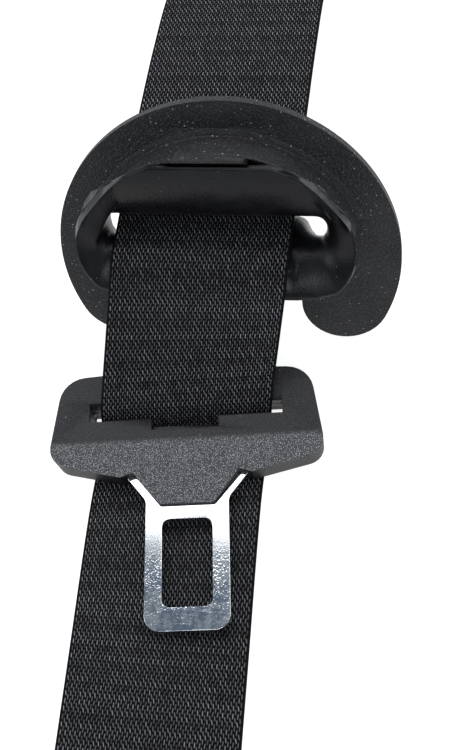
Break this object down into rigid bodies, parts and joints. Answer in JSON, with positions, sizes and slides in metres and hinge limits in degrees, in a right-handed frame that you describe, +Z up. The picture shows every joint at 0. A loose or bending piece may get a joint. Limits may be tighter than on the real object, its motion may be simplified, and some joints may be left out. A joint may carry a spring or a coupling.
{
  "type": "seat belt webbing with guide loop and latch tongue",
  "caption": "Black seat belt webbing laid through a tilted C-shaped pillar guide with a flared loop, and through a moulded latch tongue with a steel blade.",
  "frame": {"origin": "centre of the part's box on the surface that the belt lies on", "axes": "+Y along the belt from its near end to its far end, +Z up from the surface, +X to the right as seen in the picture"},
  "size_m": [0.0934, 0.316, 0.0661],
  "materials": {
    "webbing_black": "woven black polyester, ribbed, with selvedges",
    "guide_matte_black": "fine matte moulded plastic",
    "loop_gloss_black": "smooth moulded plastic, polished by the belt",
    "blade_bright_steel": "bright plated steel",
    "grip_dark_grey": "grained moulded plastic"
  },
  "bodies": {
    "belt": {"webbing": "webbing_black"},
    "guide": {"guide_flange": "guide_matte_black", "guide_loop": "loop_gloss_black"},
    "tongue": {"tongue_blade": "blade_bright_steel", "tongue_grip": "grip_dark_grey"}
  },
  "joints": [
    {"name": "guide_tilt", "type": "hinge", "parent": "belt", "child": "guide", "pos_m": [0, -0.01396, 0.01893], "axis": [1, 0, 0], "range_deg": [0, 60]},
    {"name": "tongue_tilt", "type": "hinge", "parent": "belt", "child": "tongue", "pos_m": [-0.01, -0.052, 0.0059], "axis": [-0.9945, -0.1045, 0], "range_deg": [0, 30]}
  ]
}
